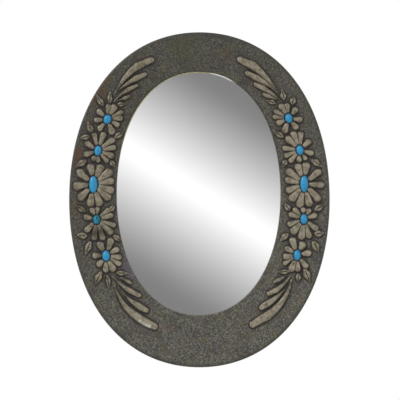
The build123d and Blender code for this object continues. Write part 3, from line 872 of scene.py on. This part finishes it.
def hardboard(tree):
    where = own_place(tree)
    inputs = {
        "Where": where, "Grain": 380.0, "Stain": 22.0, "Base": shade(122, 88, 58),
        "Dark": shade(92, 62, 38), "Light": shade(152, 116, 80), "Stained": shade(98, 70, 46),
        "Staining": 0.5,
    }
    fibre = put(tree, "Group", inputs, node_tree=speckle).outputs
    inputs = {
        "Where": where, "Color": fibre["Color"], "Dust": shade(160, 146, 124), "Amount": 0.35,
    }
    dusty = put(tree, "Group", inputs, node_tree=dust).outputs
    place = put(tree, "SeparateXYZ", {0: where}).outputs
    waves = [
        reckoned(tree, "SINE", reckoned(tree, "MULTIPLY", place[axis], math.tau / mesh_pitch))
        for axis in ("X", "Z")
    ]
    weave = reckoned(tree, "MULTIPLY", *waves)
    height = reckoned(tree, "MULTIPLY_ADD", weave, 0.3, fibre["Height"])
    dented = mixed(tree, eased(tree, weave, 0.2, 0.9, 0.0, 0.4), dusty["Color"], shade(84, 58, 38))
    return {
        "Base Color": dented,
        "Roughness": eased(tree, fibre["Height"], 0.3, 0.7, 0.6, 0.85),
        "Normal": bumped(tree, height, 0.25 * millimetre),
    }


dress("mirror_glass", finish_material("silvered glass", silvered_glass))
dress("padding_card", finish_material("grey card", grey_card))
dress("backing_board", finish_material("rough hardboard", hardboard))

# ---------------------------------------------------------------- turn buttons
# Six stamped brass bars, dulled with age, each turning on a screw to hold the backing board.
# The stamp has rolled their edges over.

# scuffs: fine scratches that cross, as a mask, and those of one direction as a height
scuffs, given = effect(
    "scuffs",
    {"Where": "Vector", "Fineness": "Float", "Amount": "Float"},
    {"Mask": "Float", "Height": "Float"},
)
turned = put(scuffs, "VectorRotate", {"Vector": given["Where"], "Axis": (0, 1, 0), "Angle": 0.6})
lines = []
for x, z in ((1.0, 0.06), (0.05, 1.0)):
    squeezed = stretched(scuffs, turned.outputs[0], x, 1.0, z)
    lines.append(cloud(scuffs, squeezed, given["Fineness"], 3.0, 0.7))
scratched = eased(scuffs, reckoned(scuffs, "MAXIMUM", *lines), 0.58, 0.72)
deliver(
    scuffs,
    {"Mask": reckoned(scuffs, "MULTIPLY", scratched, given["Amount"]), "Height": lines[0]},
)


def worn_metal(base, bright, dull, spots, roughness):
    """A plated or bare metal with scratches and dull spots."""

    def build(tree):
        where = own_place(tree)
        inputs = {
            "Where": where, "Grain": 500.0, "Stain": 160.0, "Base": base, "Dark": dull,
            "Light": bright, "Stained": dull, "Staining": spots,
        }
        body = put(tree, "Group", inputs, node_tree=speckle).outputs
        inputs = {"Where": where, "Fineness": 1500.0, "Amount": 0.6}
        scratch = put(tree, "Group", inputs, node_tree=scuffs).outputs
        return {
            "Base Color": mixed(tree, scratch["Mask"], body["Color"], bright),
            "Metallic": 1.0,
            "Roughness": eased(tree, body["Height"], 0.3, 0.7, roughness, roughness + 0.2),
            "Normal": bumped(tree, scratch["Height"], 0.04 * millimetre, 0.5),
        }

    return build


def round_edges(piece, width):
    """Rounds a CAD node's sharp edges, once its flat faces are made whole."""
    whole = piece.modifiers.new("whole faces", "DECIMATE")
    whole.decimate_type = "DISSOLVE"
    whole.angle_limit = math.radians(1)
    worn = piece.modifiers.new("round edges", "BEVEL")
    worn.width = width
    worn.segments = 3
    worn.angle_limit = math.radians(35)
    worn.harden_normals = True


brass = {"base": shade(176, 148, 92), "bright": shade(214, 188, 132), "dull": shade(120, 92, 54)}
dull_brass = finish_material("dull brass", worn_metal(**brass, spots=0.5, roughness=0.34))
for number in range(1, 7):
    button = dress(f"turn_button_{number}", dull_brass)
    button.data.shade_smooth()
    round_edges(button, 0.4 * millimetre)

# ---------------------------------------------------------------- small hardware
# The strap and the wire ring that the mirror hangs by are zinc-plated steel. The tacks through the
# flange and the slotted screws are bare steel, gone dull and a little rusty.

zinc = {"base": shade(178, 178, 176), "bright": shade(216, 216, 214), "dull": shade(126, 124, 120)}
steel = {"base": shade(140, 134, 124), "bright": shade(186, 182, 174), "dull": shade(98, 76, 56)}
zinc_plate = finish_material("zinc plate", worn_metal(**zinc, spots=0.35, roughness=0.28))
old_steel = finish_material("old steel", worn_metal(**steel, spots=0.5, roughness=0.4))
for node in ("button_screws", "hanger_screw", "cover_tacks"):
    fasteners = dress(node, old_steel)
    fasteners.data.shade_smooth()
    round_edges(fasteners, 0.12 * millimetre)
strap = dress("hanger_strap", zinc_plate)
strap.data.shade_smooth()
round_edges(strap, 0.2 * millimetre)
dress("hanging_ring", zinc_plate).data.shade_smooth()

# ---------------------------------------------------------------- wall pads
# Four discs of dark pressed felt, glued to the wood, that keep the frame off the wall. Their
# cut edges are soft and a little fuzzy.

pad_rounding = 1.1 * millimetre
pad_rings = 6  # across the pad's face
pad_steps = 96
pad_fuzz = 0.14 * millimetre


def pressed_felt(tree):
    where = own_place(tree)
    inputs = {
        "Where": where, "Grain": 1300.0, "Stain": 220.0, "Base": shade(58, 58, 62),
        "Dark": shade(38, 38, 42), "Light": shade(88, 88, 92), "Stained": shade(74, 72, 70),
        "Staining": 0.5,
    }
    wool = put(tree, "Group", inputs, node_tree=speckle).outputs
    inputs = {"Where": where, "Color": wool["Color"], "Dust": shade(150, 146, 138), "Amount": 0.3}
    dusty = put(tree, "Group", inputs, node_tree=dust).outputs
    return {
        "Base Color": dusty["Color"],
        "Roughness": eased(tree, wool["Height"], 0.3, 0.7, 0.85, 1.0),
        "Sheen Weight": 0.3,
        "Normal": bumped(tree, wool["Height"], 0.25 * millimetre),
    }


felt = finish_material("pressed felt", pressed_felt)
places = np.array([v.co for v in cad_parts["wall_pads"].data.vertices])
for number, (right, up) in enumerate(((1, 1), (-1, 1), (-1, -1), (1, -1)), 1):
    quarter = (right * places[:, 0] > 0) & (up * (places[:, 2] - hang_middle.z) > 0)
    low, high = places[quarter].min(0), places[quarter].max(0)
    centre, radius = (low + high) / 2, (high[0] - low[0]) / 2

    # half the section, from the middle of the wall's side round to the middle of the wood's
    face = [(share * (radius - pad_rounding), high[1]) for share in np.linspace(0, 1, pad_rings)]
    corner = [
        (
            radius - pad_rounding * (1 - math.sin(turn)),
            high[1] - pad_rounding * (1 - math.cos(turn)),
        )
        for turn in np.radians((30, 60, 90))
    ]
    side = [(radius, y) for y in np.linspace(high[1] - pad_rounding, low[1], 5)[1:]]
    profile = face + corner + side + [(0.0, low[1])]

    ring, step = np.mgrid[: len(profile), :pad_steps]
    out, y = np.array(profile).T[:, :, None]
    fuzz = pad_fuzz * (scatter(ring, step, number) - 1)
    fuzz[[0, -1]] = 0.0
    turn = math.tau * step / pad_steps
    dented = y + fuzz / 2 * (ring < pad_rings)
    vertices = np.stack(
        [
            centre[0] + (out + fuzz) * np.cos(turn), np.broadcast_to(dented, turn.shape),
            centre[2] + (out + fuzz) * np.sin(turn),
        ],
        axis=-1,
    ).reshape(-1, 3)
    faces = []
    for a in range((len(profile) - 1) * pad_steps):
        b = a + 1 if (a + 1) % pad_steps else a + 1 - pad_steps
        faces.append((a, b, b + pad_steps, a + pad_steps))
    pad = mesh_piece(f"felt_pad_{number}", vertices.tolist(), faces, felt)
    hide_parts("wall_pads")
    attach(pad, "frame")
